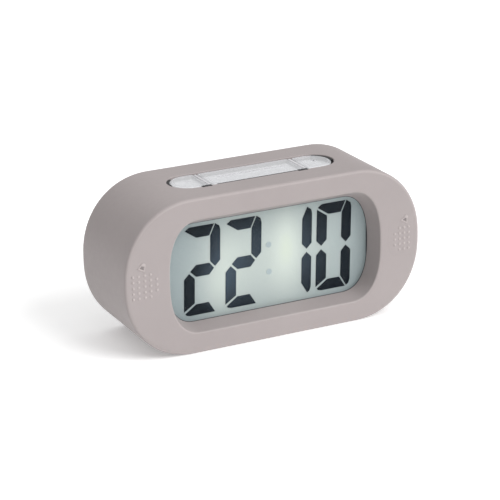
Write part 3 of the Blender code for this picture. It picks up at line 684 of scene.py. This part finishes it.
def pad_mesh(side, x, z, mirror):
    """A fine grid over the pad, raised by its crown, its dots and its pictogram."""
    across = round(2 * PAD_HALF[0] / GRID_STEP)
    up = round(2 * PAD_HALF[1] / GRID_STEP)
    mesh = bmesh.new()
    grid = []
    for i in range(across + 1):
        row = []
        u = PAD_HALF[0] * (2 * i / across - 1)
        for j in range(up + 1):
            v = PAD_HALF[1] * (2 * j / up - 1)
            height = pad_height(side, (x + u) * mirror, u, v)
            row.append(mesh.verts.new((x + u, FRONT - height, z + v)))
        grid.append(row)
    for i in range(across):
        for j in range(up):
            mesh.faces.new((grid[i][j], grid[i + 1][j], grid[i + 1][j + 1], grid[i][j + 1]))
    rim = [row[0] for row in grid] + grid[-1][1:]
    rim += [row[-1] for row in grid[-2::-1]] + grid[0][-2:0:-1]
    back = [mesh.verts.new((v.co.x, FRONT + MEMBRANE_DEPTH, v.co.z)) for v in rim]
    for i, vertex in enumerate(rim):
        j = (i + 1) % len(rim)
        mesh.faces.new((vertex, rim[j], back[j], back[i]))
    mesh.faces.new(back)
    return mesh


def smooth(t):
    """Smoothstep."""
    t = max(0.0, min(1.0, t))
    return t * t * (3 - 2 * t)


def pad_height(side, x, u, v):
    """How far the pad stands out. x is from the clock's middle, u and v from the pad's."""
    reach = (abs(u / PAD_HALF[0]) ** 3 + abs(v / PAD_HALF[1]) ** 3) ** (1 / 3)
    height = PAD_RISE * smooth((1 - reach) / PAD_SLOPE)
    for column, count in DOT_COLUMNS[side]:
        if abs(x - column) > DOT_RADIUS:
            continue
        for row in range(count):
            rise = DOT_DROP + (row - (count - 1) / 2) * DOT_PITCH
            distance = hypot(x - column, v - rise) / DOT_RADIUS
            if distance < 1:
                height += DOT_HEIGHT * (1 - distance ** 2) ** 0.8
    return height + icon_height(side, x, v)


def icon_height(side, x, v):
    """A small leaning bell: a raised outline with a solid crown, about a flat middle."""
    away = x - ICON_PLACE[side][0]
    rise = v - ICON_PLACE[side][1]
    if side == "left":
        away = -away
    a = (away * cos(ICON_LEAN) - rise * sin(ICON_LEAN)) / ICON_SIZE
    b = (away * sin(ICON_LEAN) + rise * cos(ICON_LEAN)) / ICON_SIZE
    top, flare = ICON_SHAPE[side]
    half = top + flare * smooth((0.2 - b) / 0.8)
    inside = min(half - abs(a), 0.85 - b, b + 0.70)
    crown = 0.85 - hypot(a * 1.6, b) if b > 0.3 else inside
    inside = min(inside, crown)
    if inside <= 0:
        return 0.0
    outer = smooth(inside / 0.12)
    hollow = smooth((min(inside, 0.25 - b + ICON_LINE) - ICON_LINE) / 0.10)
    return DOT_HEIGHT * (outer - hollow)


# Display ------------------------------------------------------------------------------------
INK_FRONT = -0.01272           # the figures lie in the gap between the lens and the display
INK_REAR = -0.01258
DIGIT_LEAN = 0.028
DIGIT_STRETCH = 1.012
DIGIT_DROP = 0.0010            # the figures' middle, below the window's
SEGMENTS = {                   # corners of each bar in millimetres, from the figure's middle
    "top": [(-8.1, 18.1), (-6.0, 19.5), (5.5, 19.5), (3.3, 14.6), (-2.8, 14.6)],
    "upper_right": [(6.1, 19.5), (8.0, 18.2), (8.5, 16.4), (8.5, 3.1), (6.1, 0.7), (3.8, 3.2), (3.8, 14.4)],
    "lower_right": [(6.1, -0.7), (8.5, -3.1), (8.5, -16.6), (7.9, -18.4), (6.8, -19.2), (3.8, -14.4),
                    (3.8, -3.2)],
    "bottom": [(-7.8, -18.4), (-7.2, -19.1), (-5.6, -19.5), (6.2, -19.5), (3.2, -14.8), (-2.7, -14.8)],
    "lower_left": [(-6.0, -0.8), (-8.4, -3.2), (-8.4, -17.5), (-3.4, -14.2), (-3.4, -3.3)],
    "upper_left": [(-8.4, 17.3), (-3.4, 14.0), (-3.4, 3.3), (-6.0, 0.8), (-8.4, 3.2)],
    "middle": [(-5.5, 0.0), (-2.8, 2.6), (3.4, 2.6), (5.6, 0.0), (3.4, -2.6), (-2.8, -2.6)],
}
FIGURES = {
    "2": ("top", "upper_right", "middle", "lower_left", "bottom"),
    "1": ("upper_right", "lower_right"),
    "0": ("top", "upper_right", "lower_right", "bottom", "lower_left", "upper_left"),
}
READING = [("2", -0.0303), ("2", -0.0108), ("1", 0.0136), ("0", 0.0329)]
PANEL_GROW = 0.0003
SEAM_SHADE_CLEAR = 0.00003
SEAM_SHADE_SHOWN = 0.0002
COLON_X = 0.0014
COLON_Z = (0.0048, -0.0075)
COLON_RADIUS = 0.00130
MM = 0.001


def make_display():
    """Lens, figures, colon and the pale panel behind them."""
    lens_size = (LENS_HIGH.x - LENS_LOW.x, LENS_HIGH.z - LENS_LOW.z)
    lens = slab(lens_size, 0.002, LENS_LOW.y, LENS_HIGH.y, (0.0, WINDOW_MID),
                material=MATERIALS["clear_lens"], name="display_lens")
    place(lens, "root", "clear_lens", "window_lens")
    mesh = bmesh.new()
    for figure, centre in READING:
        for part in FIGURES[figure]:
            add_segment(mesh, SEGMENTS[part], centre)
    ink = new_object("display_figures", mesh, MATERIALS["lcd_ink"])
    place(ink, "root", "lcd_glass")
    dots = bmesh.new()
    for height in COLON_Z:
        turns = [2 * pi * step / CIRCLE_STEPS for step in range(CIRCLE_STEPS)]
        add_prism(dots, [(COLON_X + COLON_RADIUS * cos(turn), WINDOW_MID + height + COLON_RADIUS * sin(turn))
                         for turn in turns])
    place(new_object("display_colon", dots, MATERIALS["lcd_ghost"]), "root", "lcd_glass")
    make_seam_shade()
    low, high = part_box("lcd_front_glass")
    size = (high.x - low.x + 2 * PANEL_GROW, high.z - low.z + PANEL_GROW)
    panel = slab(size, 0.0006, low.y, high.y, (0.0, (low.z + high.z) / 2), 0.0001, 3,
                 MATERIALS["lcd_background"], "display_panel")
    place(panel, "root", "lcd_glass", "lcd_front_glass")


def make_seam_shade():
    """Painted shade: a dark ring in the seam between the recess's foot and the lens."""
    low_y = LENS_LOW.y - GAP + SEAM_SHADE_CLEAR
    high_y = LENS_LOW.y - SEAM_SHADE_CLEAR
    rings = [window_ring(0.0, -SEAM_SHADE_SHOWN, low_y), window_ring(0.0, 0.001, low_y),
             window_ring(0.0, 0.001, high_y), window_ring(0.0, -SEAM_SHADE_SHOWN, high_y)]
    seam_shade = new_object("display_seam_shade", loft(rings, closed=True), MATERIALS["seam_shade"])
    place(seam_shade, "root", "black_plastic")


def add_segment(mesh, points, centre):
    """One bar of a figure, leaning slightly with its figure."""
    shape = []
    for x, z in points:
        shape.append((centre + (x + DIGIT_LEAN * z) * MM,
                      WINDOW_MID - DIGIT_DROP + z * DIGIT_STRETCH * MM))
    add_prism(mesh, shape)


def add_prism(mesh, shape, near=INK_FRONT, far=INK_REAR):
    """Extrude a flat outline, by default between the lens and the display."""
    add_loft(mesh, [[(x, y, z) for x, z in shape] for y in (near, far)])


# Keys ---------------------------------------------------------------------------------------
def key_outline(low, high, half, end_left, end_right, inset=0.0, steps=16):
    """One key seen from above, with its own corner size at each end."""
    points = []
    corners = ((high, half, 0, end_right), (low, half, 90, end_left),
               (low, -half, 180, end_left), (high, -half, 270, end_right))
    for x, y, start, radius in corners:
        centre_x = x - radius if x == high else x + radius
        centre_y = y - radius if y > 0 else y + radius
        for step in range(steps + 1):
            turn = radians(start + 90 * step / steps)
            reach = radius - inset
            points.append((centre_x + reach * cos(turn), centre_y + reach * sin(turn)))
    return points


KEY_CORNER = 0.0011
KEY_EDGE = 0.0007
KEY_FOOT = 0.0002              # small slope at the cap's foot
KEY_SHOULDER = 0.00025         # the rounded edge ends this far below the CAD cap's top
KEY_RIM = 0.0003               # width of the slope between the rounded edge and the flat top
KEY_SINK = 0.00018             # the cap's flat top lies this far below the CAD cap's
KEY_DEEP = 0.0034              # depth of the ribs and of the painted shade at the bar's ends below the top
SEAM_SHADE_DEEP = 0.0016
SEAM_SHADE_SPAN = (-0.0205, 0.0172)  # where the painted shade in the seam in front of the middle key runs
RIM_INSET = (0.00115, 0.00135) # the printed outline's outer and inner edge
BAR_PITCH = 0.0019
BAR_COUNT = 17
STROKE = (0.0024, 0.0006)      # length and width of the marks on the outer keys
STROKE_SHIFT = 0.0005


def key_ends(name):
    """Corner size at a key's two ends: round at the bar's ends, small next to another key."""
    end = KEY_HALF_DEPTH - TINY
    return (end if name == "left" else KEY_CORNER, end if name == "right" else KEY_CORNER)


def make_keys():
    """Clear caps with rounded edges and faint marks on top. The white bases stay as in the CAD."""
    for name in ("left", "middle", "right"):
        low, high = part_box(f"{name}_key_cap")
        left, right = key_ends(name)
        rings = [lying(key_outline(low.x, high.x, KEY_HALF_DEPTH, left, right, KEY_FOOT), low.z),
                 lying(key_outline(low.x, high.x, KEY_HALF_DEPTH, left, right), low.z + KEY_FOOT)]
        for inset, drop in reversed(rounding(KEY_EDGE, 6)):
            shape = key_outline(low.x, high.x, KEY_HALF_DEPTH, left, right, inset)
            rings.append(lying(shape, high.z - KEY_SHOULDER - drop))
        shape = key_outline(low.x, high.x, KEY_HALF_DEPTH, left, right, KEY_EDGE + KEY_RIM)
        top = high.z - KEY_SINK
        rings.append(lying(shape, top))
        cap = new_object(f"{name}_cap", split_top(loft(rings), top), MATERIALS["key_clear"])
        even_normals(cap)
        place(cap, f"{name}_key", "key_clear", f"{name}_key_cap")
        make_key_marks(name, low, high)


def split_top(mesh, top):
    """Split a key's flat top into triangles so that it shades evenly."""
    faces = [face for face in mesh.faces if all(abs(v.co.z - top) < 1e-7 for v in face.verts)]
    bmesh.ops.triangulate(mesh, faces=faces)
    return mesh


def add_block(mesh, low, high):
    """Add a box to a mesh."""
    part = block(low, high)
    data = bpy.data.meshes.new("part")
    part.to_mesh(data)
    part.free()
    mesh.from_mesh(data)
    bpy.data.meshes.remove(data)


def make_key_marks(name, low, high):
    """Faint generic marks printed on the cap: strokes, or a row of short bars, and an outline."""
    mesh = bmesh.new()
    z = high.z - KEY_SINK
    middle = (low.x + high.x) / 2
    if name == "middle":
        bars = [(middle + (i - BAR_COUNT // 2) * BAR_PITCH, 0.0, 0.0010 + 0.0005 * (i % 3 == 0), 0.0009)
                for i in range(BAR_COUNT)]
    elif name == "left":
        bars = [(middle + STROKE_SHIFT, 0.0, *STROKE)]
    else:
        bars = [(middle - STROKE_SHIFT, 0.0, *STROKE), (middle - STROKE_SHIFT, 0.0, *STROKE[::-1])]
    for x, y, wide, deep in bars:
        add_block(mesh, (x - wide / 2, y - deep / 2, z - 0.00002),
                  (x + wide / 2, y + deep / 2, z + 0.00004))
    marks = new_object(f"{name}_key_mark", mesh, MATERIALS["key_mark"])
    place(marks, f"{name}_key", "key_white")
    left, right = key_ends(name)
    rings = []
    outer, inner = RIM_INSET
    foot, crest = z - 0.00002, z + 0.00003
    for inset, level in ((outer, foot), (outer, crest), (inner, crest), (inner, foot)):
        shape = key_outline(low.x, high.x, KEY_HALF_DEPTH, left, right, inset)
        rings.append(lying(shape, level))
    rim = new_object(f"{name}_key_rim", loft(rings, closed=True), MATERIALS["key_mark"])
    place(rim, f"{name}_key", "key_white")


DIVIDER_HALF = 0.00055
RIB_DROP = 0.0006              # the ribs end this far below the top
NOTCHES = ((-0.0278, -0.0231), (0.0176, 0.0224))   # where each row of three dark dashes runs
NOTCH_REACH = 0.0013           # how far the dashes lie over the slot's rounded rim
NOTCH_RISE = 0.00014
CRESCENT_DROP = 0.0004         # the painted shade at the bar's ends lies this far below the top
CRESCENT_SPAN = {-1: (-8, 50), 1: (-12, 62)}   # degrees from the slot's tip towards the back


def make_key_gaps():
    """The ribs between the keys, painted shade in the seam in front of the middle key and at the bar's ends,
    and rows of dark dashes.
    """
    left_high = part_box("left_key_cap")[1].x
    middle_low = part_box("middle_key_cap")[0].x
    split = -(left_high + middle_low) / 2
    ribs = bmesh.new()
    for x in (-split, split):
        add_block(ribs, (x - DIVIDER_HALF, -KEY_HALF_DEPTH, HEIGHT - KEY_DEEP),
                  (x + DIVIDER_HALF, KEY_HALF_DEPTH, HEIGHT - RIB_DROP))
    rib = new_object("key_ribs", ribs, MATERIALS["key_rib"])
    soften(rib)
    place(rib, "root", "key_white")
    # Painted shade: dark fill in the seam in front of the middle key and at the bar's two ends; the rows of
    # dark dashes go in the same mesh.
    seam_shade = bmesh.new()
    near = -KEY_HALF_DEPTH - 0.0001
    far = -SLOT[1] / 2 + 0.00002
    add_block(seam_shade, (SEAM_SHADE_SPAN[0], far, HEIGHT - SEAM_SHADE_DEEP), (SEAM_SHADE_SPAN[1], near, HEIGHT - 0.00003))
    for low_x, high_x in NOTCHES:
        step = (high_x - low_x) / 3
        for number in range(3):
            start = low_x + number * step
            add_block(seam_shade, (start, far - NOTCH_REACH, HEIGHT - SEAM_SHADE_DEEP),
                      (start + step * 0.8, near, HEIGHT + NOTCH_RISE))
    for sign in (-1, 1):
        add_crescent(seam_shade, sign)
    strip = new_object("key_seam_shade", seam_shade, MATERIALS["black_plastic"])
    place(strip, "root", "black_plastic")


def add_crescent(mesh, sign):
    """Fill the gap between one end of the key bar and the slot's wall with painted shade."""
    start, stop = CRESCENT_SPAN[sign]
    key_end = (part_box("right_key_cap")[1].x - KEY_HALF_DEPTH, KEY_HALF_DEPTH + 0.00012)
    slot_end = (SLOT[0] / 2 - SLOT[1] / 2, SLOT[1] / 2 + 0.0002)
    steps = 24
    rings = []
    for step in range(steps + 1):
        turn = radians(start + (stop - start) * step / steps)
        inner, outer = [(sign * (middle + radius * cos(turn)), radius * sin(turn))
                        for middle, radius in (key_end, slot_end)]
        rings.append([(x, y, z) for (x, y), z in (
            (inner, HEIGHT - KEY_DEEP), (inner, HEIGHT - CRESCENT_DROP),
            (outer, HEIGHT - CRESCENT_DROP), (outer, HEIGHT - KEY_DEEP))])
    add_loft(mesh, rings)


# Back ---------------------------------------------------------------------------------------
def refine(node, body, slot, width=0.0002, cuts=()):
    """A copy of a CAD node with softened edges and extra cuts, shown in the node's place."""
    mesh = bmesh.new()
    mesh.from_mesh(frame["nodes"][node].data)
    bmesh.ops.remove_doubles(mesh, verts=mesh.verts, dist=1e-6)
    piece = new_object(f"{node}_fine", mesh, MATERIALS[slot])
    for tool in cuts:
        cut(piece, tool)
    merge_faces(piece)
    soften(piece, width)
    even_normals(piece)
    place(piece, body, slot, node)


def merge_faces(piece):
    """Merge the flat faces that cuts leave in pieces."""
    mesh = bmesh.new()
    mesh.from_mesh(piece.data)
    bmesh.ops.remove_doubles(mesh, verts=mesh.verts, dist=1e-6)
    bmesh.ops.dissolve_limit(mesh, angle_limit=radians(1), verts=mesh.verts, edges=mesh.edges)
    mesh.to_mesh(piece.data)
    mesh.free()


def make_back():
    """The back panel, battery door, controls, screws and cells."""
    refine("rear_shell", "root", "case_plastic", 0.00015)
    refine("battery_door", "battery_door", "case_plastic", 0.00015, door_cuts())
    for name in ("alarm", "light"):
        low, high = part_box(f"{name}_slider")
        middle = (low.x + high.x) / 2
        cuts = [block((middle + shift - 0.0002, high.y - 0.0004, low.z - 0.001),
                      (middle + shift + 0.0002, high.y + 0.001, high.z + 0.001))
                for shift in (-0.0010, 0.0, 0.0010)]
        refine(f"{name}_slider", f"{name}_slider", "black_plastic", 0.0001, cuts)
    for name in ("set", "reset"):
        make_button(name)
    for number in range(1, 5):
        make_screw(f"case_screw_{number}")
    for number in range(1, 4):
        make_cell(f"battery_{number}", 1 if number % 2 else -1)
    make_back_marks()


GROOVE_START = 0.0072          # the first groove's distance from the door's free edge
GROOVE_PITCH = 0.0012
GROOVE_HALF = 0.0075           # half the length of the first groove
GROOVE_TAPER = 0.0006
ARROW_PLACE = 0.0160
ARROW = (0.0022, 0.0030)       # half width and length


def door_cuts():
    """Finger grooves near the door's free edge, and an arrow pointing the way it opens."""
    cuts = []
    for number in range(5):
        z = DOOR_HIGH.z - GROOVE_START - number * GROOVE_PITCH
        half = GROOVE_HALF - GROOVE_TAPER * number
        cuts.append(block((-half, DOOR_HIGH.y - 0.0003, z - 0.0003), (half, REAR, z + 0.0003)))
    foot = DOOR_HIGH.z - ARROW_PLACE
    arrow = bmesh.new()
    add_prism(arrow, [(-ARROW[0], foot), (ARROW[0], foot), (0.0, foot - ARROW[1])],
              DOOR_HIGH.y - 0.0002, REAR)
    return cuts + [arrow]


BUTTON_FLANGE_WIDTH = 0.0008
BUTTON_STEM = 0.0028           # length of the stem in front of the flange


def make_button(name):
    """A round push button with a dished top."""
    low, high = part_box(f"{name}_button")
    flange = (high.x - low.x) / 2
    radius = flange - BUTTON_FLANGE_WIDTH
    step = low.y + BUTTON_STEM
    shoulder = step + BUTTON_FLANGE_WIDTH
    centre = ((low.x + high.x) / 2, (low.z + high.z) / 2)
    profile = [(0.0016, low.y), (0.0016, step), (flange, step), (flange, shoulder),
               (radius, shoulder), (radius, high.y - 0.0004), (radius - 0.00012, high.y - 0.00012),
               (radius - 0.0004, high.y), (radius - 0.0007, high.y - 0.00008), (0.0006, high.y - 0.0003)]
    button = new_object(f"{name}_button_fine", turned(profile, centre, "Y"), MATERIALS["black_plastic"], 30)
    place(button, f"{name}_button", "black_plastic", f"{name}_button")


def make_screw(node):
    """A pan head with a cross recess on its shank."""
    low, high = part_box(node)
    centre = ((low.x + high.x) / 2, (low.z + high.z) / 2)
    radius = (high.x - low.x) / 2
    profile = [(0.0004, low.y), (0.0011, low.y + 0.0013), (0.0011, high.y - 0.0019),
               (radius, high.y - 0.0019), (radius, high.y - 0.0008), (radius * 0.93, high.y - 0.00035),
               (radius * 0.75, high.y - 0.0001), (radius * 0.4, high.y)]
    screw = new_object(f"{node}_fine", turned(profile, centre, "Y"), MATERIALS["screw_steel"], 35)
    for wide, tall in ((0.0030, 0.0006), (0.0006, 0.0030)):
        cross = block((centre[0] - wide / 2, high.y - 0.0009, centre[1] - tall / 2),
                      (centre[0] + wide / 2, high.y + 0.001, centre[1] + tall / 2))
        cut(screw, cross)
    sharpen(screw, 30)
    place(screw, "root", "screw_steel", node)


def make_cell(node, way):
    """A smooth dry cell with a crimped shoulder and a cap. way is the end its cap is at."""
    low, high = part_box(node)
    middle = (low.x + high.x) / 2
    half = (high.x - low.x) / 2
    radius = (high.z - low.z) / 2
    centre = ((low.y + high.y) / 2, (low.z + high.z) / 2)
    profile = [(0.0030, -half), (radius * 0.86, -half), (radius * 0.95, -half + 0.0003),
               (radius, -half + 0.0009), (radius, half - 0.0022), (radius * 0.985, half - 0.0019),
               (radius * 0.93, half - 0.0014), (radius * 0.80, half - 0.0011), (0.0021, half - 0.0010),
               (0.0019, half - 0.0008), (0.0019, half - 0.0001), (0.0017, half)]
    places = [(reach, middle + way * along) for reach, along in profile]
    cell = new_object(f"{node}_fine", turned(places, centre, "X"), MATERIALS["battery_wrap"], 30)
    place(cell, "root", "battery_wrap", node)


SIGN_AWAY = 0.0098             # from a control's middle to its sign's
SIGN_RADII = (0.0006, 0.0011)


def make_back_marks():
    """Small generic signs beside the controls: a ring, a hexagon, a square and a triangle."""
    y_low = SHELL_HIGH.y - 0.00002
    y_high = SHELL_HIGH.y + 0.00006
    inner, outer = SIGN_RADII
    for name, sides in (("alarm_slider", 24), ("light_slider", 6), ("set_button", 4), ("reset_button", 3)):
        low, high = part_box(name)
        x = (low.x + high.x) / 2 - SIGN_AWAY
        z = (low.z + high.z) / 2
        rings = [[(x + r * cos(2 * pi * i / sides + pi / 2), y, z + r * sin(2 * pi * i / sides + pi / 2))
                  for i in range(sides)]
                 for r, y in ((inner, y_low), (inner, y_high), (outer, y_high), (outer, y_low))]
        sign = new_object(f"{name}_mark", loft(rings, closed=True), MATERIALS["mark_white"])
        place(sign, "root", "case_plastic")


# Camera, light and floor --------------------------------------------------------------------
CAMERA_TURN = radians(-26.5)
CAMERA_RISE = radians(19.6)
CAMERA_ROLL = radians(-1.0)
CAMERA_DISTANCE = 0.9136
CAMERA_LENS = 152.5            # millimetres
AIM_SHIFT = (-0.00244, -0.00072)
AIM = Vector((0.0, FRONT + 0.020, MID))


def make_camera():
    """The photo's view: a long lens, from the left and a little above."""
    level = cos(CAMERA_RISE)
    back = Vector((sin(CAMERA_TURN) * level, -cos(CAMERA_TURN) * level, sin(CAMERA_RISE)))
    right = Vector((0, 0, 1)).cross(back).normalized()
    up = back.cross(right)
    rolled_right = right * cos(CAMERA_ROLL) + up * sin(CAMERA_ROLL)
    rolled_up = up * cos(CAMERA_ROLL) - right * sin(CAMERA_ROLL)
    spot = AIM + right * AIM_SHIFT[0] + up * AIM_SHIFT[1] + back * CAMERA_DISTANCE
    data = bpy.data.cameras.new("camera")
    data.lens = CAMERA_LENS
    data.clip_start = 0.01
    camera = bpy.data.objects.new("camera", data)
    turn = Matrix((rolled_right, rolled_up, back)).transposed().to_4x4()
    camera.matrix_world = Matrix.Translation(spot) @ turn
    scene.collection.objects.link(camera)
    scene.camera = camera


def soft_sun(name, source, spread, strength):
    """Even light from one direction, as wide as a large soft box."""
    data = bpy.data.lights.new(name, "SUN")
    data.energy = strength
    data.angle = radians(spread)
    lamp = bpy.data.objects.new(name, data)
    lamp.rotation_euler = (-Vector(source)).to_track_quat("-Z", "Y").to_euler()
    scene.collection.objects.link(lamp)


WORLD_LIGHT = 0.28
FLOOR_GLOW = 0.24
LAMPS = {                      # where the light comes from, its spread in degrees, its strength
    "key_light": ((0.42, -0.70, 0.60), 40, 2.36),
    "top_light": ((0.0, 0.05, 1.0), 90, 1.42),
}


def make_studio():
    """A pale floor under soft light from the front and above."""
    mesh = bmesh.new()
    bmesh.ops.create_grid(mesh, x_segments=1, y_segments=1, size=3.0)
    floor = Shader("floor", (0.93, 0.93, 0.93), 0.6)
    floor.colour(floor.ramp(floor.noise(3, 2), [(0.3, (0.92, 0.92, 0.92)), (0.7, (0.94, 0.94, 0.94))]))
    floor.main.inputs["Emission Color"].default_value = (1, 1, 1, 1)
    floor.main.inputs["Emission Strength"].default_value = FLOOR_GLOW
    ground = new_object("floor", mesh, floor.material)
    world = bpy.data.worlds.new("studio")
    world.use_nodes = True
    sky = world.node_tree.nodes["Background"]
    sky.inputs["Color"].default_value = (1, 1, 1, 1)
    sky.inputs["Strength"].default_value = WORLD_LIGHT
    scene.world = world
    for name, values in LAMPS.items():
        soft_sun(name, *values)
    scene.view_settings.view_transform = "Standard"


# Build --------------------------------------------------------------------------------------
def finish_cad_nodes():
    """Give every CAD node that still shows its slot's material."""
    slots = {part["node"]: part["material_slot"] for part in frame["record"]["subparts"]}
    for name, node in frame["nodes"].items():
        node.data.materials.clear()
        node.data.materials.append(MATERIALS[slots[name]])


finish_cad_nodes()
make_sleeve()
make_pads()
make_display()
make_keys()
make_key_gaps()
make_back()
make_camera()
make_studio()
